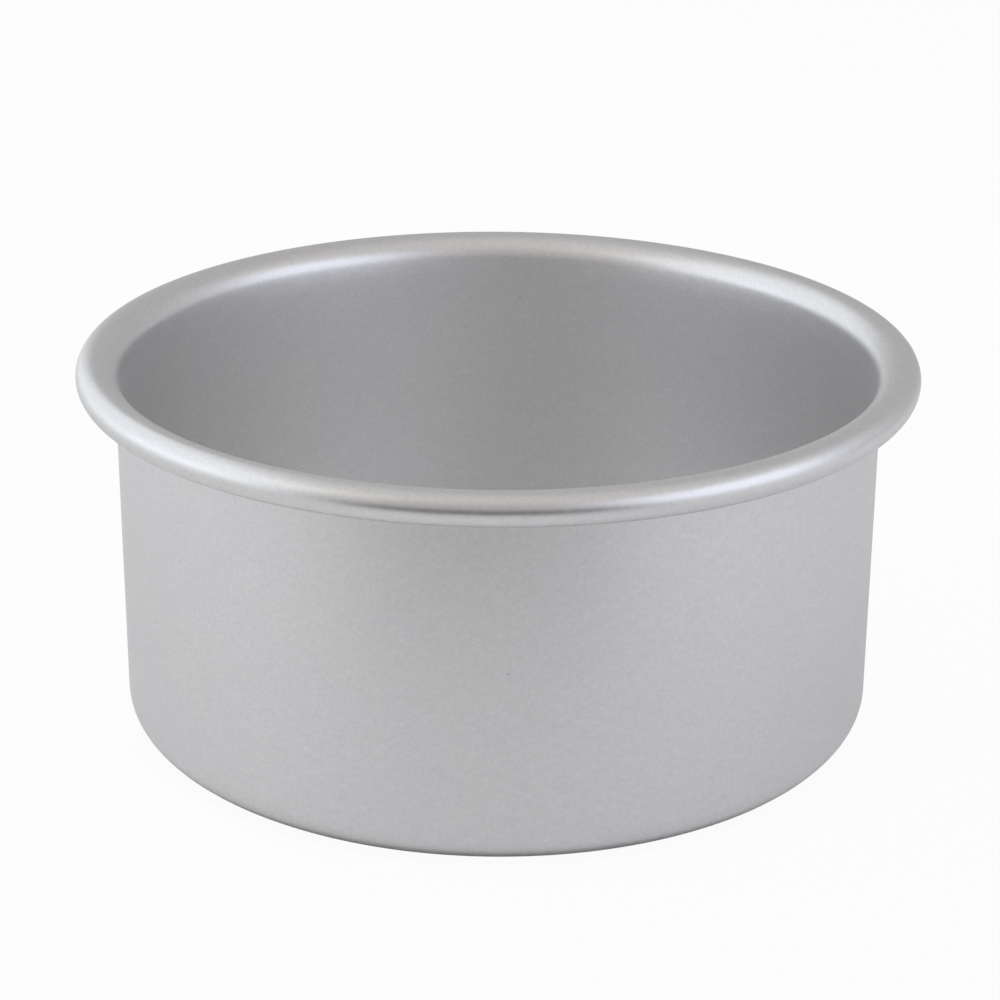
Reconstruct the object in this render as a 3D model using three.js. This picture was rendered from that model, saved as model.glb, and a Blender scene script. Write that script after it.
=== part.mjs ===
// Loose-base round cake tin in anodised aluminium: a one-piece spun wall with a hollow rolled rim
// and a turned-in ledge, and a loose flat base that lies on the ledge and is pushed up from below.
// Millimetres, +Z up, origin at the middle of the face that the tin stands on.
import * as THREE from 'three';

// Driving sizes of the tin wall
const INSIDE_DIAMETER = 152.4;
const TIN_HEIGHT = 77.4;
const SHEET = 1.2;
const FLOOR_CORNER_RADIUS = 6.2;
const LEDGE_FLAT = 7;
const RIM_OVERHANG = 7.7;
const ROLL_RADIUS = 3.25;
const ROLL_SEAM = 0.4;

// Driving sizes of the loose base
const BASE_THICKNESS = 1.5;
const BASE_CLEARANCE = 0.4;
const BASE_EDGE_RADIUS = 0.4;
const LARGEST_EDGE_SHARE = 0.45;

// Facets
const ROUND_SIDES = 72;
const STEPS_PER_QUARTER = 6;
const EDGE_STEPS = 3;
const QUARTER_TURN = Math.PI / 2;

// Sizes that follow from the driving ones
const INNER_RADIUS = INSIDE_DIAMETER / 2;
const OUTER_RADIUS = INNER_RADIUS + SHEET;
const INNER_CORNER_RADIUS = FLOOR_CORNER_RADIUS - SHEET;
const LEDGE_OUTER_RADIUS = INNER_RADIUS - INNER_CORNER_RADIUS;
const RIM_RADIUS = OUTER_RADIUS + RIM_OVERHANG;
const SHOULDER_RADIUS = RIM_RADIUS - ROLL_RADIUS - INNER_RADIUS;
const WALL_STRAIGHT = TIN_HEIGHT - FLOOR_CORNER_RADIUS - SHOULDER_RADIUS;
const ROLL_TUCK = SHOULDER_RADIUS - SHEET - ROLL_SEAM;
const BASE_RADIUS = LEDGE_OUTER_RADIUS - BASE_CLEARANCE;
const BASE_EDGE = Math.min(BASE_EDGE_RADIUS, LARGEST_EDGE_SHARE * BASE_THICKNESS);

const anodisedWall = new THREE.MeshStandardMaterial({
  color: 0xbfc0c3,
  roughness: 0.42,
  metalness: 1,
});

const anodisedBase = new THREE.MeshStandardMaterial({
  color: 0xb9babd,
  roughness: 0.46,
  metalness: 1,
});

// A flat stretch of sheet.
function straight(length) {
  return { length };
}

// A bend in the sheet. The radius is that of the face the section is drawn along, and a positive
// angle turns the sheet to the left of the way it runs.
function bend(radius, angle) {
  return { radius, angle };
}

// The closed section of a sheet of even thickness, as points of radius and height. The section is
// drawn along one face, from start outwards, and the other face lies one thickness to its right.
function sheetSection(start, thickness, run) {
  const face = [];
  const back = [];
  const place = start.clone();
  let heading = 0;
  const mark = () => {
    const toBack = new THREE.Vector2(Math.sin(heading), -Math.cos(heading));
    face.unshift(place.clone());
    back.push(toBack.multiplyScalar(thickness).add(place));
  };
  mark();
  for (const step of run) {
    if (step.length !== undefined) {
      place.x += step.length * Math.cos(heading);
      place.y += step.length * Math.sin(heading);
      mark();
      continue;
    }
    const steps = Math.round((Math.abs(step.angle) / QUARTER_TURN) * STEPS_PER_QUARTER);
    const side = Math.sign(step.angle) * step.radius;
    const from = heading;
    const centre = new THREE.Vector2(-Math.sin(from), Math.cos(from)).multiplyScalar(side).add(place);
    for (let i = 1; i <= steps; i += 1) {
      heading = from + (step.angle * i) / steps;
      place.set(centre.x + side * Math.sin(heading), centre.y - side * Math.cos(heading));
      mark();
    }
  }
  return [...back, ...face, back[0].clone()];
}

// A quarter round, anticlockwise from an angle, as points of radius and height.
function quarterRound(centreRadius, centreHeight, radius, fromAngle) {
  return Array.from({ length: EDGE_STEPS + 1 }, (_, i) => {
    const angle = fromAngle + (QUARTER_TURN * i) / EDGE_STEPS;
    return new THREE.Vector2(
      centreRadius + radius * Math.cos(angle),
      centreHeight + radius * Math.sin(angle),
    );
  });
}

// A section turned about the tin's axis, which is +Z.
function turned(section) {
  return new THREE.LatheGeometry(section, ROUND_SIDES).rotateX(QUARTER_TURN);
}

// The wall is one sheet: from the cut edge of the ledge out to the floor corner, up the wall, out
// over the shoulder, round the rolled rim and back in under it, to stop just short of the wall.
function makeTinWall() {
  const ledgeCutEdge = new THREE.Vector2(LEDGE_OUTER_RADIUS - LEDGE_FLAT, SHEET);
  const section = sheetSection(ledgeCutEdge, SHEET, [
    straight(LEDGE_FLAT),
    bend(INNER_CORNER_RADIUS, QUARTER_TURN),
    straight(WALL_STRAIGHT),
    bend(SHOULDER_RADIUS, -QUARTER_TURN),
    bend(ROLL_RADIUS, -2 * QUARTER_TURN),
    straight(ROLL_TUCK),
  ]);
  const mesh = new THREE.Mesh(turned(section), anodisedWall);
  mesh.name = 'tin_wall';
  return mesh;
}

// The base is a flat disc with rounded edges, as wide as the flat of the ledge lets it lie.
function makeLooseBase() {
  const edgeCentre = BASE_RADIUS - BASE_EDGE;
  const section = [
    new THREE.Vector2(0, 0),
    ...quarterRound(edgeCentre, BASE_EDGE, BASE_EDGE, -QUARTER_TURN),
    ...quarterRound(edgeCentre, BASE_THICKNESS - BASE_EDGE, BASE_EDGE, 0),
    new THREE.Vector2(0, BASE_THICKNESS),
  ];
  const mesh = new THREE.Mesh(turned(section), anodisedBase);
  mesh.name = 'loose_base';
  mesh.position.z = SHEET;
  return mesh;
}

const cakeTin = new THREE.Group();
cakeTin.add(makeTinWall(), makeLooseBase());

export default cakeTin;
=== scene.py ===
"""Looks of a loose-base round cake tin in satin anodised aluminium.

The tin wall is one spun sheet: a turned-in ledge, a rounded floor corner, a straight wall and a
hollow rolled rim. The loose base is a flat disc that lies on the ledge and is pushed up from
below. Everything is in metres, +Z up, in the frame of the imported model.
"""

import logging
import math
from collections.abc import Iterable
from dataclasses import dataclass
from enum import Enum

import bpy
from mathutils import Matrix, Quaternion, Vector


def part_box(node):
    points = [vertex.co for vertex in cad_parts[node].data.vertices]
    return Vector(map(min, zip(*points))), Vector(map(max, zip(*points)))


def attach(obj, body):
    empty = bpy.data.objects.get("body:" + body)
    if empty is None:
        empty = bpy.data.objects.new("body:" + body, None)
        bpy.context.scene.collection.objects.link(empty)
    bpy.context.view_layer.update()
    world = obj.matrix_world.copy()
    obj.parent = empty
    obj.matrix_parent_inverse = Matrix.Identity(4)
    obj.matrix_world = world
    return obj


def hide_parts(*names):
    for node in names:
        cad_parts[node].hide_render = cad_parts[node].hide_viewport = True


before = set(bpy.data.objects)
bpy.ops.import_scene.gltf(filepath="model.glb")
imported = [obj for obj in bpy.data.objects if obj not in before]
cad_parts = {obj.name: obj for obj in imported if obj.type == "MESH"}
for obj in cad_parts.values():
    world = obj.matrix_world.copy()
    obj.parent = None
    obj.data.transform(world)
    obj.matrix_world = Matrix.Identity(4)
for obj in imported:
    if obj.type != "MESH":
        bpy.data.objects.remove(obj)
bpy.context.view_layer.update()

LOG = logging.getLogger("cake_tin")
MM = 0.001
QUARTER_TURN = math.pi / 2
FULL_TURN = 2 * math.pi
ROUND_STEPS = 288
MERGE_DISTANCE = 0.001 * MM
SMOOTH_ANGLE = math.radians(32)
SHARP_ANGLE = math.radians(55)


class Turn(Enum):
    """Which way a bend takes the sheet, seen along the way that its section is drawn."""

    LEFT = 1
    RIGHT = -1


class Side(Enum):
    """Which way a flat face of the base looks."""

    UP = 1
    DOWN = -1


def start_mesh_work() -> None:
    """Deselect every object, so that the next operators act on new work alone."""
    bpy.ops.object.select_all(action="DESELECT")


def keep_edit_result(name: str) -> bpy.types.Object:
    """Leave edit mode and name the piece that was edited.

    Args:
        name: The piece's name, for its object and its mesh.

    Returns:
        The piece.
    """
    bpy.ops.object.mode_set(mode="OBJECT")
    piece = bpy.context.object
    piece.name = name
    piece.data.name = name
    return piece


def ease_sharp_edges(width: float, segments: int) -> None:
    """Round every sharp edge of the mesh in edit mode.

    Args:
        width: How far the rounding reaches from the edge.
        segments: How many faces the rounding has.
    """
    bpy.ops.mesh.select_mode(type="EDGE")
    bpy.ops.mesh.select_all(action="DESELECT")
    bpy.ops.mesh.edges_select_sharp(sharpness=SHARP_ANGLE)
    bpy.ops.mesh.bevel(offset=width, segments=segments, profile=0.5, affect="EDGES")


class SheetPen:
    """Draws the section of a bent sheet by extruding and spinning one point in the XZ plane."""

    def __init__(self, start: Vector) -> None:
        """Put a single point, in edit mode, where the section starts.

        Args:
            start: The place of the section's first point.
        """
        start_mesh_work()
        bpy.ops.mesh.primitive_plane_add(size=start.x)
        bpy.ops.object.mode_set(mode="EDIT")
        bpy.ops.mesh.select_mode(type="VERT")
        bpy.ops.mesh.merge(type="CENTER")
        bpy.ops.transform.translate(value=start)
        self.place = start.copy()
        self.heading = 0.0

    def straight(self, length: float, steps: int = 1) -> None:
        """Extrude a flat stretch.

        Args:
            length: The stretch's length.
            steps: How many even steps it has.
        """
        along = Vector((math.cos(self.heading), 0, math.sin(self.heading)))
        for _ in range(steps):
            step = along * (length / steps)
            bpy.ops.mesh.extrude_vertices_move(TRANSFORM_OT_translate={"value": step})
            self.place += step

    def bend(self, radius: float, angle: float, turn: Turn, steps: int) -> None:
        """Spin a round stretch.

        Args:
            radius: The radius of the face that the section follows.
            angle: How far the sheet turns.
            turn: Which way it turns.
            steps: How many even steps the bend has.
        """
        side = Vector((-math.sin(self.heading), 0, math.cos(self.heading))) * turn.value
        centre = self.place + side * radius
        bpy.ops.mesh.spin(
            steps=steps, angle=angle, center=centre, axis=(0, turn.value, 0), use_auto_merge=False
        )
        self.heading += angle * turn.value
        out = Vector((math.sin(self.heading), 0, -math.cos(self.heading))) * turn.value
        self.place = centre + out * radius

    def turn_round(self) -> None:
        """Spin the whole section once round the tin's axis and close the seam."""
        bpy.ops.mesh.select_all(action="SELECT")
        bpy.ops.mesh.spin(steps=ROUND_STEPS, angle=FULL_TURN, center=(0, 0, 0), axis=(0, 0, 1))
        bpy.ops.mesh.select_all(action="SELECT")
        bpy.ops.mesh.remove_doubles(threshold=MERGE_DISTANCE)
        bpy.ops.mesh.normals_make_consistent(inside=False)


class Socket(Enum):
    """The kinds of socket that the shader groups have."""

    NUMBER = "NodeSocketFloat"
    VECTOR = "NodeSocketVector"


def feed(
    tree: bpy.types.NodeTree,
    sockets: Iterable[bpy.types.NodeSocket],
    values: Iterable[float | bpy.types.NodeSocket],
) -> None:
    """Give each input of a node its value.

    Args:
        tree: The nodes.
        sockets: The inputs.
        values: What goes into them in turn, each a number or another node's output.
    """
    for socket, value in zip(sockets, values):
        if isinstance(value, bpy.types.NodeSocket):
            tree.links.new(value, socket)
        else:
            socket.default_value = value


def math_node(
    tree: bpy.types.NodeTree, operation: str, *values: float | bpy.types.NodeSocket
) -> bpy.types.NodeSocket:
    """Add a sum to some nodes.

    Args:
        tree: The nodes.
        operation: The kind of sum.
        *values: What goes in, each a number or another node's output.

    Returns:
        The sum's output.
    """
    node = tree.nodes.new("ShaderNodeMath")
    node.operation = operation
    feed(tree, node.inputs, values)
    return node.outputs["Value"]


def vector_node(
    tree: bpy.types.NodeTree, *parts: float | bpy.types.NodeSocket
) -> bpy.types.NodeSocket:
    """Join three numbers into a vector.

    Args:
        tree: The nodes.
        *parts: The numbers, each a number or another node's output.

    Returns:
        The vector.
    """
    node = tree.nodes.new("ShaderNodeCombineXYZ")
    feed(tree, node.inputs, parts)
    return node.outputs["Vector"]


def ramp_node(
    tree: bpy.types.NodeTree,
    value: bpy.types.NodeSocket,
    start: float | bpy.types.NodeSocket,
    full: float,
    height: float = 1.0,
) -> bpy.types.NodeSocket:
    """Add a soft ramp to some nodes.

    Args:
        tree: The nodes.
        value: What goes in.
        start: The value at which the ramp starts, from nothing.
        full: The value at which it is full.
        height: What the full ramp comes to.

    Returns:
        The ramp.
    """
    ramp = tree.nodes.new("ShaderNodeMapRange")
    ramp.interpolation_type = "SMOOTHSTEP"
    sockets = [ramp.inputs[name] for name in ("Value", "From Min", "From Max", "To Max")]
    feed(tree, sockets, (value, start, full, height))
    return ramp.outputs["Result"]


def noise_node(
    tree: bpy.types.NodeTree,
    vector: bpy.types.NodeSocket,
    scale: float | bpy.types.NodeSocket,
    detail: float = 2.0,
    roughness: float = 0.5,
) -> bpy.types.NodeSocket:
    """Add a noise to some nodes.

    Args:
        tree: The nodes.
        vector: Where the noise is read.
        scale: How fine it is.
        detail: How many finer layers it has.
        roughness: How strong they are.

    Returns:
        The noise's output, from 0 to 1.
    """
    node = tree.nodes.new("ShaderNodeTexNoise")
    sockets = [node.inputs[name] for name in ("Vector", "Scale", "Detail", "Roughness")]
    feed(tree, sockets, (vector, scale, detail, roughness))
    return node.outputs["Fac"]


class SurfaceEffect:
    """A shader group that is built once and placed in each finish with its own values."""

    name: str
    inputs: dict[str, Socket]
    outputs: tuple[str, ...]

    def group(self) -> bpy.types.NodeTree:
        """Give the group, built at its first use.

        Returns:
            The group.
        """
        found = bpy.data.node_groups.get(self.name)
        if found:
            return found
        tree = bpy.data.node_groups.new(self.name, "ShaderNodeTree")
        for name, kind in self.inputs.items():
            tree.interface.new_socket(name, in_out="INPUT", socket_type=kind.value)
        for name in self.outputs:
            tree.interface.new_socket(name, in_out="OUTPUT", socket_type=Socket.NUMBER.value)
        given = tree.nodes.new("NodeGroupInput")
        result = tree.nodes.new("NodeGroupOutput")
        for name, socket in self.wire(tree, given.outputs).items():
            tree.links.new(socket, result.inputs[name])
        return tree

    def wire(
        self, tree: bpy.types.NodeTree, given: bpy.types.NodeOutputs
    ) -> dict[str, bpy.types.NodeSocket]:
        """Fill the group with its nodes.

        Args:
            tree: The group.
            given: What goes into the group.

        Returns:
            What comes out of it, by name.
        """
        raise NotImplementedError

    def place(
        self, tree: bpy.types.NodeTree, values: dict[str, float | Vector]
    ) -> bpy.types.NodeOutputs:
        """Place the group in a material, on the piece's own coordinates.

        Args:
            tree: The material's nodes.
            values: A value for each of the group's other inputs.

        Returns:
            What comes out of the group.
        """
        node = tree.nodes.new("ShaderNodeGroup")
        node.node_tree = self.group()
        coordinates = tree.nodes.new("ShaderNodeTexCoord")
        tree.links.new(coordinates.outputs["Object"], node.inputs["Vector"])
        for name, value in values.items():
            node.inputs[name].default_value = value
        return node.outputs


class EtchedGrain(SurfaceEffect):
    """The fine even grain of etched, anodised aluminium, with soft cloudy patches under it."""

    name = "etched_grain"
    inputs = {"Vector": Socket.VECTOR, "grain scale": Socket.NUMBER, "cloud scale": Socket.NUMBER}
    outputs = ("grain", "cloud")

    def wire(
        self, tree: bpy.types.NodeTree, given: bpy.types.NodeOutputs
    ) -> dict[str, bpy.types.NodeSocket]:
        """Fill the group with a fine and a broad noise.

        Args:
            tree: The group.
            given: What goes into the group.

        Returns:
            The grain and the clouds.
        """
        place = given["Vector"]
        return {
            "grain": noise_node(tree, place, given["grain scale"], detail=3.0, roughness=0.65),
            "cloud": noise_node(tree, place, given["cloud scale"], detail=4.0, roughness=0.55),
        }


class FormingMarks(SurfaceEffect):
    """Rings from the forming tool and slanting polishing marks, along the turned section.

    Attributes:
        few_from: The noise at which a mark starts, high enough that marks are few.
        few_full: The noise at which a mark is full.
    """

    name = "forming_marks"
    inputs = {
        "Vector": Socket.VECTOR,
        "ring scale": Socket.NUMBER,
        "mark length": Socket.NUMBER,
        "mark width": Socket.NUMBER,
        "slant": Socket.NUMBER,
    }
    outputs = ("ring", "mark", "radius", "height")
    few_from: float = 0.56
    few_full: float = 0.74

    def wire(
        self, tree: bpy.types.NodeTree, given: bpy.types.NodeOutputs
    ) -> dict[str, bpy.types.NodeSocket]:
        """Fill the group with a noise over the section and two that are drawn out round the tin.

        Args:
            tree: The group.
            given: What goes into the group.

        Returns:
            The rings, the marks, and the radius and height that they are drawn over.
        """
        axes = tree.nodes.new("ShaderNodeSeparateXYZ")
        tree.links.new(given["Vector"], axes.inputs["Vector"])
        x, y, height = axes.outputs
        radius = math_node(
            tree,
            "SQRT",
            math_node(tree, "MULTIPLY_ADD", x, x, math_node(tree, "MULTIPLY", y, y)),
        )
        run = math_node(tree, "SUBTRACT", height, radius)
        section = vector_node(tree, radius, height, 0.0)
        marks = [
            self.slanted(tree, given, (x, y, run), turn) for turn in (Turn.LEFT, Turn.RIGHT)
        ]
        return {
            "ring": noise_node(tree, section, given["ring scale"], detail=3.0),
            "mark": math_node(tree, "MAXIMUM", *marks),
            "radius": radius,
            "height": height,
        }

    def slanted(
        self,
        tree: bpy.types.NodeTree,
        given: bpy.types.NodeOutputs,
        place: tuple[bpy.types.NodeSocket, bpy.types.NodeSocket, bpy.types.NodeSocket],
        turn: Turn,
    ) -> bpy.types.NodeSocket:
        """Draw a few long thin marks that slant one way.

        Args:
            tree: The group.
            given: What goes into the group.
            place: Across, along and the run of the section.
            turn: Which way they slant.

        Returns:
            The marks, from 0 to 1.
        """
        x, y, run = place
        slant = math_node(tree, "MULTIPLY", given["slant"], turn.value)
        across = math_node(tree, "MULTIPLY_ADD", x, slant, run)
        drawn_out = vector_node(
            tree,
            math_node(tree, "DIVIDE", x, given["mark length"]),
            math_node(tree, "DIVIDE", y, given["mark length"]),
            math_node(tree, "DIVIDE", across, given["mark width"]),
        )
        few = tree.nodes.new("ShaderNodeMapRange")
        sockets = [few.inputs[name] for name in ("Value", "From Min", "From Max")]
        feed(tree, sockets, (noise_node(tree, drawn_out, 1.0), self.few_from, self.few_full))
        return few.outputs["Result"]


class DarkSpeck(SurfaceEffect):
    """A tiny dark speck under the anodised skin."""

    name = "dark_speck"
    inputs = {"Vector": Socket.VECTOR, "place": Socket.VECTOR, "size": Socket.NUMBER}
    outputs = ("speck",)

    def wire(
        self, tree: bpy.types.NodeTree, given: bpy.types.NodeOutputs
    ) -> dict[str, bpy.types.NodeSocket]:
        """Fill the group with a soft dot round one place.

        Args:
            tree: The group.
            given: What goes into the group.

        Returns:
            The speck.
        """
        away = tree.nodes.new("ShaderNodeVectorMath")
        away.operation = "DISTANCE"
        feed(tree, away.inputs, (given["Vector"], given["place"]))
        return {"speck": ramp_node(tree, away.outputs["Value"], given["size"], 0.0)}


ETCHED_GRAIN = EtchedGrain()
FORMING_MARKS = FormingMarks()
DARK_SPECK = DarkSpeck()


class Along(Enum):
    """The measures along which a finish can be worn."""

    HEIGHT = "height"
    RADIUS = "radius"


@dataclass(frozen=True)
class WornBand:
    """A band that rolling, stacking and handling have worn smooth, with an uneven edge.

    Attributes:
        along: The measure that the band is laid out along.
        start: Where the wear starts.
        full: Where it is full.
        drop: How much smoother the worn metal is.
        spread: How far the band's edge strays.
    """

    along: Along
    start: float
    full: float
    drop: float
    spread: float


@dataclass(frozen=True)
class PaintedCreaseShade:
    """A thin line of painted shade along a crease, standing in for the shadow under the roll.

    Attributes:
        height: Where the crease is.
        fade: How far above the crease the painted shade reaches.
        inner_radius: How far out the painted shade starts.
        tone: How much darker it is.
    """

    height: float
    fade: float
    inner_radius: float
    tone: float


@dataclass(frozen=True)
class SatinFinish:
    """Satin anodised aluminium.

    Attributes:
        name: The material's name.
        slot: The record's material slot, which is not used.
        cool: The colour of the cooler patches.
        warm: The colour of the warmer patches.
        smooth: The roughness where the etch is lightest.
        rough: The roughness where the etch is heaviest.
        grain_scale: How many grains there are in a metre.
        grain_depth: The height of the grain.
        grain_tone: How much the grain lightens and darkens the metal.
        ring_depth: The height of the forming rings.
        mark_tone: How much lighter a polishing mark is.
        worn: The worn bands.
        painted_crease_shades: The lines of painted shade in creases.
        specks: The places of the dark specks.
        cloud_scale: How many soft patches there are in a metre.
        ring_scale: How many forming rings there are in a metre.
        mark_length: The length of a polishing mark.
        mark_width: The width of a polishing mark.
        mark_slant: How steeply the polishing marks climb.
        speck_size: How far a speck reaches from its middle.
        speck_tone: How much darker a speck is.
    """

    name: str
    slot: str
    cool: tuple[float, float, float]
    warm: tuple[float, float, float]
    smooth: float
    rough: float
    grain_scale: float
    grain_depth: float
    grain_tone: float
    ring_depth: float
    mark_tone: float
    worn: tuple[WornBand, ...]
    painted_crease_shades: tuple[PaintedCreaseShade, ...] = ()
    specks: tuple[Vector, ...] = ()
    cloud_scale: float = 45.0
    ring_scale: float = 1500.0
    mark_length: float = 14.0 * MM
    mark_width: float = 0.55 * MM
    mark_slant: float = 0.5
    speck_size: float = 0.3 * MM
    speck_tone: float = 0.5

    def material(self) -> bpy.types.Material:
        """Make the material.

        Returns:
            The material, with its colour, roughness and bump from the shared effects.
        """
        material = bpy.data.materials.new(self.name)
        material.use_nodes = True
        tree = material.node_tree
        metal = tree.nodes["Principled BSDF"].inputs
        metal["Metallic"].default_value = 1.0
        grain = ETCHED_GRAIN.place(
            tree, {"grain scale": self.grain_scale, "cloud scale": self.cloud_scale}
        )
        marks = FORMING_MARKS.place(
            tree,
            {
                "ring scale": self.ring_scale,
                "mark length": self.mark_length,
                "mark width": self.mark_width,
                "slant": self.mark_slant,
            },
        )
        tree.links.new(self.colour(tree, grain, marks), metal["Base Color"])
        tree.links.new(self.roughness(tree, grain, marks), metal["Roughness"])
        tree.links.new(self.relief(tree, grain, marks), metal["Normal"])
        return material

    def colour(
        self,
        tree: bpy.types.NodeTree,
        grain: bpy.types.NodeOutputs,
        marks: bpy.types.NodeOutputs,
    ) -> bpy.types.NodeSocket:
        """Tint the metal in soft patches, then shade its grain, marks and specks, and paint shade
        along the crease lines.

        Args:
            tree: The material's nodes.
            grain: The placed grain.
            marks: The placed marks.

        Returns:
            The colour.
        """
        tint = tree.nodes.new("ShaderNodeMix")
        tint.data_type = "RGBA"
        tint.inputs["A"].default_value = (*self.cool, 1)
        tint.inputs["B"].default_value = (*self.warm, 1)
        tree.links.new(grain["cloud"], tint.inputs["Factor"])
        tone = math_node(
            tree, "MULTIPLY_ADD", grain["grain"], self.grain_tone, 1 - self.grain_tone / 2
        )
        tone = math_node(tree, "MULTIPLY_ADD", marks["mark"], self.mark_tone, tone)
        for place in self.specks:
            speck = DARK_SPECK.place(tree, {"place": place, "size": self.speck_size})
            tone = math_node(tree, "MULTIPLY_ADD", speck["speck"], -self.speck_tone, tone)
        # Painted shade: darken the roll's underside along the crease, in place of the shadow
        # there.
        for line in self.painted_crease_shades:
            low = ramp_node(tree, marks["height"], line.height + line.fade, line.height, line.tone)
            outside = math_node(tree, "GREATER_THAN", marks["radius"], line.inner_radius)
            tone = math_node(tree, "SUBTRACT", tone, math_node(tree, "MULTIPLY", low, outside))
        shaded = tree.nodes.new("ShaderNodeVectorMath")
        shaded.operation = "SCALE"
        tree.links.new(tint.outputs["Result"], shaded.inputs["Vector"])
        tree.links.new(tone, shaded.inputs["Scale"])
        return shaded.outputs["Vector"]

    def roughness(
        self,
        tree: bpy.types.NodeTree,
        grain: bpy.types.NodeOutputs,
        marks: bpy.types.NodeOutputs,
    ) -> bpy.types.NodeSocket:
        """Vary the roughness with the grain and smooth it in the worn bands.

        Args:
            tree: The material's nodes.
            grain: The placed grain.
            marks: The placed marks.

        Returns:
            The roughness.
        """
        etch = math_node(
            tree, "MULTIPLY_ADD", grain["grain"], self.rough - self.smooth, self.smooth
        )
        for band in self.worn:
            edge = math_node(
                tree, "MULTIPLY_ADD", grain["cloud"], band.spread, marks[band.along.value]
            )
            middle = band.spread / 2
            worn = ramp_node(tree, edge, band.start + middle, band.full + middle, band.drop)
            etch = math_node(tree, "SUBTRACT", etch, worn)
        return etch

    def relief(
        self,
        tree: bpy.types.NodeTree,
        grain: bpy.types.NodeOutputs,
        marks: bpy.types.NodeOutputs,
    ) -> bpy.types.NodeSocket:
        """Raise the grain over the forming rings.

        Args:
            tree: The material's nodes.
            grain: The placed grain.
            marks: The placed marks.

        Returns:
            The bumped normal.
        """
        rings = tree.nodes.new("ShaderNodeBump")
        rings.inputs["Distance"].default_value = self.ring_depth
        tree.links.new(marks["ring"], rings.inputs["Height"])
        grains = tree.nodes.new("ShaderNodeBump")
        grains.inputs["Distance"].default_value = self.grain_depth
        tree.links.new(grain["grain"], grains.inputs["Height"])
        tree.links.new(rings.outputs["Normal"], grains.inputs["Normal"])
        return grains.outputs["Normal"]


@dataclass
class TinWall:
    """The wall, ledge and rolled rim, spun from one sheet.

    Attributes:
        finish: The metal's finish.
        rim_radius: The radius over the rolled rim.
        height: The height to the top of the rim.
        sheet: The thickness of the sheet.
        floor_corner_radius: The outside radius of the corner between ledge and wall.
        ledge_flat: The width of the ledge's flat.
        rim_overhang: How far the rim stands out from the wall.
        roll_radius: The outside radius of the roll.
        roll_seam: The gap between the end of the roll and the wall.
        shoulder_start_radius: The radius of the shoulder's gentle start.
        shoulder_start_angle: How far the sheet turns in that start.
        cut_edge_ease: How far the rounding of the cut edges reaches.
    """

    finish: SatinFinish
    rim_radius: float
    height: float
    sheet: float = 1.2 * MM
    floor_corner_radius: float = 6.2 * MM
    ledge_flat: float = 7.0 * MM
    rim_overhang: float = 7.7 * MM
    roll_radius: float = 3.25 * MM
    roll_seam: float = 0.4 * MM
    shoulder_start_radius: float = 36 * MM
    shoulder_start_angle: float = math.radians(8)
    cut_edge_ease: float = 0.25 * MM

    @property
    def inner_radius(self) -> float:
        """The radius of the wall's inner face."""
        return self.rim_radius - self.rim_overhang - self.sheet

    @property
    def shoulder_radius(self) -> float:
        """The radius of a plain shoulder that leads from the wall out to the roll."""
        return self.rim_radius - self.roll_radius - self.inner_radius

    @property
    def shoulder_end_radius(self) -> float:
        """The radius of the shoulder after its gentle start, so that it still meets the roll."""
        eased = self.shoulder_start_radius * (1 - math.cos(self.shoulder_start_angle))
        return (self.shoulder_radius - eased) / math.cos(self.shoulder_start_angle)

    @property
    def shoulder_height(self) -> float:
        """How far below the rim's top the shoulder starts."""
        rise = math.sin(self.shoulder_start_angle)
        return self.shoulder_start_radius * rise + self.shoulder_end_radius * (1 - rise)

    def draw(self) -> None:
        """Draw the sheet's visible face, from the ledge's cut edge to the end of the roll."""
        inner_corner = self.floor_corner_radius - self.sheet
        ledge_outer = self.inner_radius - inner_corner
        wall_straight = self.height - self.floor_corner_radius - self.shoulder_height
        shoulder_end_angle = QUARTER_TURN - self.shoulder_start_angle
        tuck = self.shoulder_radius - self.sheet - self.roll_seam
        pen = SheetPen(Vector((ledge_outer - self.ledge_flat, 0, self.sheet)))
        pen.straight(self.ledge_flat, steps=4)
        pen.bend(inner_corner, QUARTER_TURN, Turn.LEFT, steps=12)
        pen.straight(wall_straight, steps=14)
        pen.bend(self.shoulder_start_radius, self.shoulder_start_angle, Turn.RIGHT, steps=5)
        pen.bend(self.shoulder_end_radius, shoulder_end_angle, Turn.RIGHT, steps=13)
        pen.bend(self.roll_radius, 2 * QUARTER_TURN, Turn.RIGHT, steps=24)
        pen.straight(tuck, steps=3)
        pen.turn_round()

    def face_inwards(self, piece: bpy.types.Object) -> None:
        """Turn the drawn face's normals towards the tin's axis, where they point away from it.

        Args:
            piece: The wall, before it has a thickness.
        """
        middle = min(piece.data.polygons, key=lambda face: abs(face.center.z - self.height / 2))
        if middle.normal.dot(middle.center.xyz * Vector((1, 1, 0))) > 0:
            piece.data.flip_normals()

    def build(self) -> bpy.types.Object:
        """Spin the sheet, give it its thickness and ease its cut edges.

        Returns:
            The wall.
        """
        self.draw()
        piece = keep_edit_result("spun_wall")
        self.face_inwards(piece)
        sheet = piece.modifiers.new("sheet", "SOLIDIFY")
        sheet.thickness = self.sheet
        sheet.offset = -1
        sheet.use_even_offset = True
        bpy.ops.object.modifier_apply(modifier=sheet.name)
        bpy.ops.object.mode_set(mode="EDIT")
        ease_sharp_edges(self.cut_edge_ease, segments=3)
        bpy.ops.object.mode_set(mode="OBJECT")
        bpy.ops.object.shade_smooth_by_angle(angle=SMOOTH_ANGLE)
        return piece

    def dress(self, piece: bpy.types.Object) -> None:
        """Give the wall its finish and hang it on its body.

        Args:
            piece: The wall.
        """
        piece.data.materials.append(self.finish.material())
        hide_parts("tin_wall")
        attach(piece, "tin")


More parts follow.
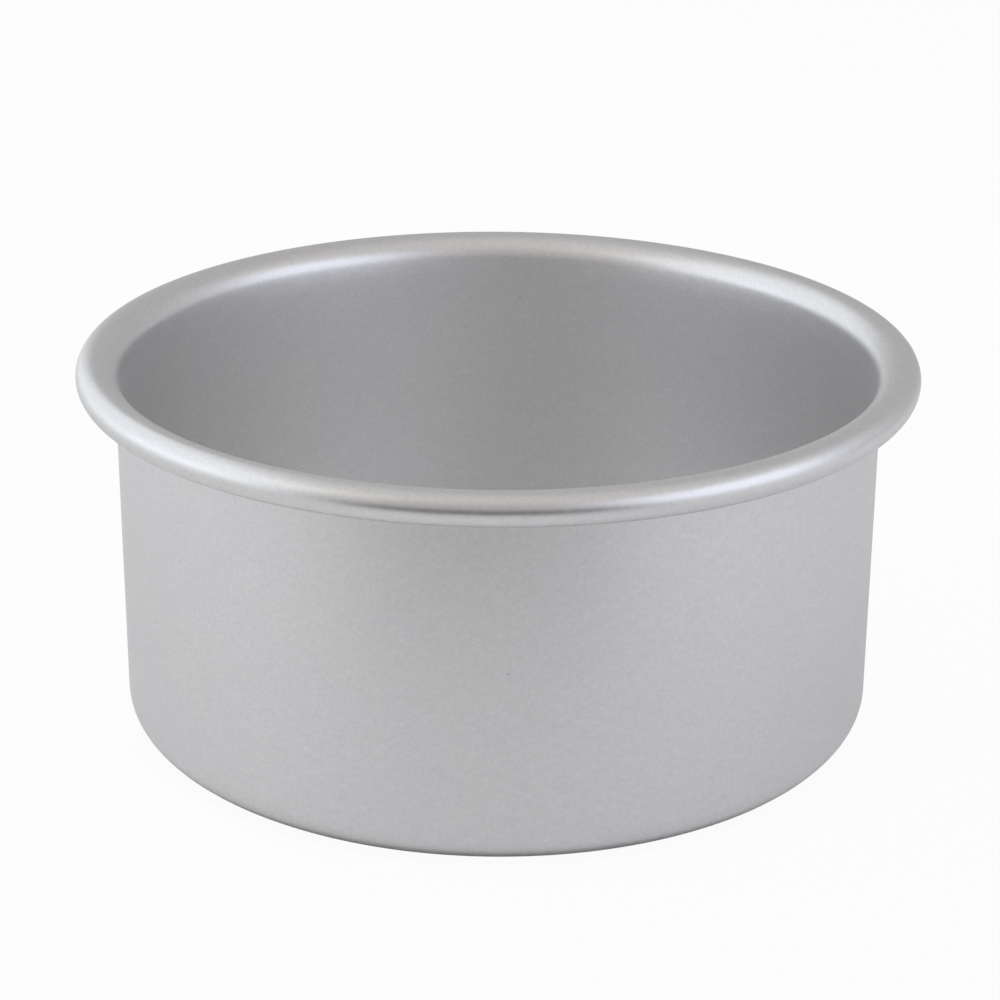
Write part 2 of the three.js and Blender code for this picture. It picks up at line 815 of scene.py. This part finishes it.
@dataclass
class LooseBase:
    """The flat disc that lies on the ledge.

    Attributes:
        finish: The metal's finish.
        radius: The disc's radius.
        underside: The height of its lower face.
        top: The height of its upper face.
        edge_radius: The rounding of its edges.
        ring_width: The width of the rings of faces on its flats.
        rings: How many such rings there are.
    """

    finish: SatinFinish
    radius: float
    underside: float
    top: float
    edge_radius: float = 0.4 * MM
    ring_width: float = 11.0 * MM
    rings: int = 6

    def select_flat(self, piece: bpy.types.Object, side: Side) -> None:
        """Select the round flat face on one side, in edit mode.

        Args:
            piece: The disc.
            side: Which face.
        """
        bpy.ops.mesh.select_mode(type="FACE")
        bpy.ops.mesh.select_all(action="DESELECT")
        bpy.ops.object.mode_set(mode="OBJECT")
        flat = max(piece.data.polygons, key=lambda face: face.normal.z * side.value * face.area)
        flat.select = True
        bpy.ops.object.mode_set(mode="EDIT")

    def build(self) -> bpy.types.Object:
        """Cut the disc, round its edges and ring its faces.

        Returns:
            The base.
        """
        start_mesh_work()
        bpy.ops.mesh.primitive_cylinder_add(
            vertices=ROUND_STEPS,
            radius=self.radius,
            depth=self.top - self.underside,
            location=(0, 0, (self.top + self.underside) / 2),
        )
        bpy.ops.object.transform_apply(location=True, rotation=False, scale=False)
        piece = bpy.context.object
        bpy.ops.object.mode_set(mode="EDIT")
        ease_sharp_edges(self.edge_radius, segments=5)
        for side in Side:
            self.select_flat(piece, side)
            for _ in range(self.rings):
                bpy.ops.mesh.inset(thickness=self.ring_width)
            bpy.ops.mesh.poke()
        keep_edit_result("push_up_base")
        bpy.ops.object.shade_smooth_by_angle(angle=SMOOTH_ANGLE)
        return piece

    def dress(self, piece: bpy.types.Object) -> None:
        """Give the base its finish and hang it on its body.

        Args:
            piece: The base.
        """
        piece.data.materials.append(self.finish.material())
        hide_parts("loose_base")
        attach(piece, "base")


def direction(azimuth: float, elevation: float) -> Vector:
    """Point away from the tin.

    Args:
        azimuth: Degrees round the tin from the camera's side, to the right.
        elevation: Degrees above the floor.

    Returns:
        A direction of length 1.
    """
    round_tin = math.radians(azimuth)
    above = math.radians(elevation)
    level = math.cos(above)
    return Vector((math.sin(round_tin) * level, -math.cos(round_tin) * level, math.sin(above)))


def face_size(distance: float, half_angle: float) -> float:
    """Give the size of a flat face that spans an angle either side of its middle, in degrees."""
    return 2 * distance * math.tan(math.radians(half_angle))


@dataclass(frozen=True)
class SoftBox:
    """A large soft lamp that looks at the tin.

    Attributes:
        name: The lamp's name.
        azimuth: Degrees round the tin from the camera's side, to the right.
        elevation: Degrees above the floor.
        half_width: Half the width that it spans, in degrees seen from the tin.
        half_height: Half the height that it spans, in degrees seen from the tin.
        brightness: How bright its face is, where 1 is white.
        colour: The colour of its light.
        distance: How far it stands from the tin.
    """

    name: str
    azimuth: float
    elevation: float
    half_width: float
    half_height: float
    brightness: float
    colour: tuple[float, float, float]
    distance: float = 1.0

    def place(self) -> bpy.types.Object:
        """Make the lamp and turn it to the tin.

        Returns:
            The lamp.
        """
        away = direction(self.azimuth, self.elevation)
        light = bpy.data.lights.new(self.name, "AREA")
        light.shape = "RECTANGLE"
        light.size = face_size(self.distance, self.half_width)
        light.size_y = face_size(self.distance, self.half_height)
        light.energy = self.brightness * math.pi * light.size * light.size_y
        light.color = self.colour
        lamp = bpy.data.objects.new(self.name, light)
        lamp.location = away * self.distance
        lamp.rotation_mode = "QUATERNION"
        lamp.rotation_quaternion = away.to_track_quat("Z", "Y")
        lamp.visible_camera = False
        bpy.context.scene.collection.objects.link(lamp)
        return lamp


@dataclass(frozen=True)
class DarkCard:
    """A low dark card that stands on the floor and gives the metal a darker stretch to mirror.

    Attributes:
        name: The card's name.
        azimuth: Degrees round the tin from the camera's side, to the right.
        half_width: Half the width that it spans, in degrees seen from the tin.
        top: The height of its top edge, in degrees seen from the tin.
        distance: How far it stands from the tin.
        grey: How light the card is.
    """

    name: str
    azimuth: float
    half_width: float
    top: float
    distance: float
    grey: float = 0.02

    def place(self) -> bpy.types.Object:
        """Stand the card on the floor, out of the camera's sight.

        Returns:
            The card.
        """
        height = self.distance * math.tan(math.radians(self.top))
        away = direction(self.azimuth, 0)
        start_mesh_work()
        bpy.ops.mesh.primitive_plane_add(
            size=1,
            location=away * self.distance + Vector((0, 0, height / 2)),
            rotation=(QUARTER_TURN, 0, math.radians(self.azimuth)),
        )
        card = bpy.context.object
        card.name = self.name
        card.scale = (face_size(self.distance, self.half_width), height, 1)
        card.visible_camera = False
        material = bpy.data.materials.new(self.name)
        material.use_nodes = True
        surface = material.node_tree.nodes["Principled BSDF"]
        surface.inputs["Base Color"].default_value = (self.grey, self.grey, self.grey, 1)
        surface.inputs["Roughness"].default_value = 1.0
        card.data.materials.append(material)
        return card


@dataclass(frozen=True)
class Floor:
    """A plain white floor that keeps the tin's shadow and is open under the tin, with a painted
    shadow under the tin's foot.

    Attributes:
        size: The length of its sides.
        drop: How far it lies below the face the tin stands on.
        opening_radius: The size of the opening, which the tin's foot hides from above.
        paint: How much light its paint returns.
        seen_share: How much of it is plain white to the camera, over its lit paint.
        seen_glow: How bright that white is.
        mirrored_share: The same share in the metal's reflections.
        mirrored_glow: The same brightness in the metal's reflections.
        contact_radius: How far out the painted shadow under the tin's foot reaches.
        contact_shadow_paint: How much light the floor returns in that painted shadow.
        contact_fade: How far the painted shadow fades out.
    """

    size: float = 12.0
    drop: float = 0.05 * MM
    opening_radius: float = 71.6 * MM
    paint: float = 0.95
    seen_share: float = 0.95
    seen_glow: float = 1.0
    mirrored_share: float = 0.03
    mirrored_glow: float = 0.9
    # Painted shadow: the floor's paint is darker within this radius under the tin's foot.
    contact_radius: float = 75.5 * MM
    contact_shadow_paint: float = 0.48
    contact_fade: float = 1.5 * MM

    def lay(self) -> bpy.types.Object:
        """Lay the floor.

        Returns:
            The floor.
        """
        start_mesh_work()
        bpy.ops.mesh.primitive_plane_add(size=self.size, location=(0, 0, -self.drop))
        floor = bpy.context.object
        floor.name = "floor"
        floor.data.materials.append(self.material())
        return floor

    def material(self) -> bpy.types.Material:
        """Make the paint, which glows to the camera and the metal, and is see-through from below.

        Returns:
            The material.
        """
        material = bpy.data.materials.new("white_floor")
        material.use_nodes = True
        tree = material.node_tree
        tree.nodes.clear()
        link = tree.links.new
        place = tree.nodes.new("ShaderNodeTexCoord")
        away = tree.nodes.new("ShaderNodeVectorMath")
        away.operation = "LENGTH"
        link(place.outputs["Object"], away.inputs[0])
        paint = tree.nodes.new("ShaderNodeBsdfDiffuse")
        link(self.shade(tree, away.outputs["Value"]), paint.inputs["Color"])
        side = tree.nodes.new("ShaderNodeNewGeometry")
        opening = math_node(tree, "LESS_THAN", away.outputs["Value"], self.opening_radius)
        see_through = math_node(tree, "MAXIMUM", side.outputs["Backfacing"], opening)
        clear = tree.nodes.new("ShaderNodeBsdfTransparent")
        floor = tree.nodes.new("ShaderNodeMixShader")
        feed(
            tree,
            floor.inputs,
            (see_through, self.glow(tree, paint.outputs["BSDF"]), clear.outputs["BSDF"]),
        )
        out = tree.nodes.new("ShaderNodeOutputMaterial")
        link(floor.outputs["Shader"], out.inputs["Surface"])
        return material

    def glow(
        self, tree: bpy.types.NodeTree, paint: bpy.types.NodeSocket
    ) -> bpy.types.NodeSocket:
        """Lay plain white over the paint, as the camera and the metal's reflections see it.

        Args:
            tree: The floor's nodes.
            paint: The lit paint.

        Returns:
            The shader of the floor as it is seen.
        """
        path = tree.nodes.new("ShaderNodeLightPath")
        shader = paint
        for ray, share, strength in (
            ("Is Glossy Ray", self.mirrored_share, self.mirrored_glow),
            ("Is Transmission Ray", self.mirrored_share, self.mirrored_glow),
            ("Is Camera Ray", self.seen_share, self.seen_glow),
        ):
            white = tree.nodes.new("ShaderNodeEmission")
            white.inputs["Strength"].default_value = strength
            amount = math_node(tree, "MULTIPLY", path.outputs[ray], share)
            mix = tree.nodes.new("ShaderNodeMixShader")
            feed(tree, mix.inputs, (amount, shader, white.outputs["Emission"]))
            shader = mix.outputs["Shader"]
        return shader

    def shade(
        self, tree: bpy.types.NodeTree, away: bpy.types.NodeSocket
    ) -> bpy.types.NodeSocket:
        """Paint a shadow on the floor close under the tin's foot, by darkening the paint there.

        Args:
            tree: The floor's nodes.
            away: The distance from the tin's axis.

        Returns:
            The paint's tone.
        """
        # Painted shadow: the paint darkens close under the tin's foot.
        start = self.contact_radius + self.contact_fade
        lift = self.paint - self.contact_shadow_paint
        return math_node(
            tree, "SUBTRACT", self.paint, ramp_node(tree, away, start, self.contact_radius, lift)
        )


@dataclass(frozen=True)
class Surround:
    """The even light of the room, which the camera sees as white.

    Attributes:
        front: The room's light on the camera's side.
        back: The room's light behind the tin.
        reach: How far the turn from one to the other reaches either side of the tin, up to 1.
    """

    front: tuple[float, float, float]
    back: tuple[float, float, float]
    reach: float = 0.7

    def fill(self) -> None:
        """Set the world."""
        world = bpy.data.worlds.new("studio")
        bpy.context.scene.world = world
        world.use_nodes = True
        tree = world.node_tree
        tree.nodes.clear()
        link = tree.links.new
        out = tree.nodes.new("ShaderNodeOutputWorld")
        place = tree.nodes.new("ShaderNodeTexCoord")
        axes = tree.nodes.new("ShaderNodeSeparateXYZ")
        link(place.outputs["Generated"], axes.inputs["Vector"])
        depth = tree.nodes.new("ShaderNodeMapRange")
        depth.inputs["From Min"].default_value = -self.reach
        depth.inputs["From Max"].default_value = self.reach
        link(axes.outputs["Y"], depth.inputs["Value"])
        tone = tree.nodes.new("ShaderNodeMix")
        tone.data_type = "RGBA"
        tone.inputs["A"].default_value = (*self.front, 1)
        tone.inputs["B"].default_value = (*self.back, 1)
        link(depth.outputs["Result"], tone.inputs["Factor"])
        room = tree.nodes.new("ShaderNodeBackground")
        link(tone.outputs["Result"], room.inputs["Color"])
        white = tree.nodes.new("ShaderNodeBackground")
        white.inputs["Color"].default_value = (1, 1, 1, 1)
        mix = tree.nodes.new("ShaderNodeMixShader")
        path = tree.nodes.new("ShaderNodeLightPath")
        seen = path.outputs["Is Camera Ray"]
        feed(tree, mix.inputs, (seen, room.outputs["Background"], white.outputs["Background"]))
        link(mix.outputs["Shader"], out.inputs["Surface"])


@dataclass(frozen=True)
class Camera:
    """The camera, which looks down into the tin's mouth from the front.

    Attributes:
        distance: How far it is from the frame's origin.
        elevation: How high it is, in degrees seen from the origin.
        look_down: How far down it looks, in degrees.
        swing: How far it is swung to the right, in degrees.
        roll: How far it is rolled, in degrees.
        lens: Its focal length in millimetres.
    """

    distance: float = 0.5769
    elevation: float = 25.69
    look_down: float = 21.685
    swing: float = 0.055
    roll: float = 0.395
    lens: float = 97.05

    def place(self) -> bpy.types.Object:
        """Make the scene's camera.

        Returns:
            The camera.
        """
        data = bpy.data.cameras.new("camera")
        data.lens = self.lens
        camera = bpy.data.objects.new("camera", data)
        camera.location = direction(0, self.elevation) * self.distance
        behind = direction(-self.swing, self.look_down)
        camera.rotation_mode = "QUATERNION"
        level = behind.to_track_quat("Z", "Y")
        camera.rotation_quaternion = level @ Quaternion((0, 0, 1), math.radians(self.roll))
        bpy.context.scene.collection.objects.link(camera)
        bpy.context.scene.camera = camera
        return camera


@dataclass(frozen=True)
class Studio:
    """The photographer's studio round the tin.

    Attributes:
        floor: What the tin stands on.
        surround: The light of the room.
        cards: The dark cards.
        lamps: The lamps.
        camera: The camera.
    """

    floor: Floor
    surround: Surround
    cards: tuple[DarkCard, ...]
    lamps: tuple[SoftBox, ...]
    camera: Camera

    def build(self) -> None:
        """Set up the whole studio."""
        self.floor.lay()
        self.surround.fill()
        for card in self.cards:
            card.place()
            LOG.info("card %s", card.name)
        for lamp in self.lamps:
            lamp.place()
            LOG.info("lamp %s", lamp.name)
        self.camera.place()
        bpy.context.scene.view_settings.view_transform = "Standard"


WALL_SATIN = SatinFinish(
    name="satin_wall",
    slot="satin_wall",
    cool=(0.87, 0.875, 0.885),
    warm=(0.89, 0.885, 0.88),
    smooth=0.39,
    rough=0.47,
    grain_scale=1300,
    grain_depth=0.006 * MM,
    grain_tone=0.24,
    ring_depth=0.002 * MM,
    mark_tone=0.028,
    worn=(
        WornBand(Along.HEIGHT, start=69.0 * MM, full=72.5 * MM, drop=0.05, spread=2.0 * MM),
        WornBand(Along.HEIGHT, start=1.2 * MM, full=0.0, drop=0.08, spread=0.8 * MM),
    ),
    # Painted shade on the roll's underside, along the crease where the roll meets the wall.
    painted_crease_shades=(PaintedCreaseShade(height=71.2 * MM, fade=1.1 * MM, inner_radius=78.4 * MM, tone=0.3),),
    specks=(Vector((2.12, -77.37, 40.15)) * MM, Vector((4.91, 76.04, 63.56)) * MM),
)
BASE_SATIN = SatinFinish(
    name="satin_base",
    slot="satin_base",
    cool=(0.86, 0.865, 0.875),
    warm=(0.88, 0.875, 0.87),
    smooth=0.40,
    rough=0.48,
    grain_scale=1300,
    grain_depth=0.006 * MM,
    grain_tone=0.24,
    ring_depth=0.006 * MM,
    mark_tone=0.03,
    worn=(WornBand(Along.RADIUS, start=69.4 * MM, full=70.6 * MM, drop=0.08, spread=0.8 * MM),),
)
STUDIO = Studio(
    floor=Floor(),
    surround=Surround(front=(0.432, 0.405, 0.407), back=(0.435, 0.427, 0.425)),
    cards=(DarkCard("front_card", azimuth=-3, half_width=33, top=18.5, distance=0.36),),
    lamps=(
        SoftBox("left_bank", -107, 36, 44, 24, 0.51, (0.86, 0.925, 1.0)),
        SoftBox("left_mid", -80, 20, 25, 8, 0.32, (0.79, 0.8, 1.0)),
        SoftBox("left_low", -101, 7, 53, 7, 0.53, (0.86, 0.99, 1.0)),
        SoftBox("left_front", -48, 42, 14, 22, 0.11, (0.9, 1.0, 0.65)),
        SoftBox("right_bank", 62, 25, 26, 20, 0.8, (0.77, 0.845, 1.0)),
        SoftBox("right_side", 104, 30, 15, 20, 0.16, (0.77, 0.87, 1.0)),
        SoftBox("overhead", 0, 80, 50, 28, 0.13, (1.0, 1.0, 0.9)),
    ),
    camera=Camera(),
)


def main() -> None:
    """Build, dress and light the tin."""
    logging.basicConfig(level=logging.INFO)
    _, wall_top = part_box("tin_wall")
    base_low, base_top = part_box("loose_base")
    assemblies = (
        TinWall(WALL_SATIN, rim_radius=wall_top.x, height=wall_top.z),
        LooseBase(BASE_SATIN, radius=base_top.x, underside=base_low.z, top=base_top.z),
    )
    for assembly in assemblies:
        piece = assembly.build()
        assembly.dress(piece)
        LOG.info("piece %s has %d faces", piece.name, len(piece.data.polygons))
    STUDIO.build()


if __name__ == "__main__":
    main()
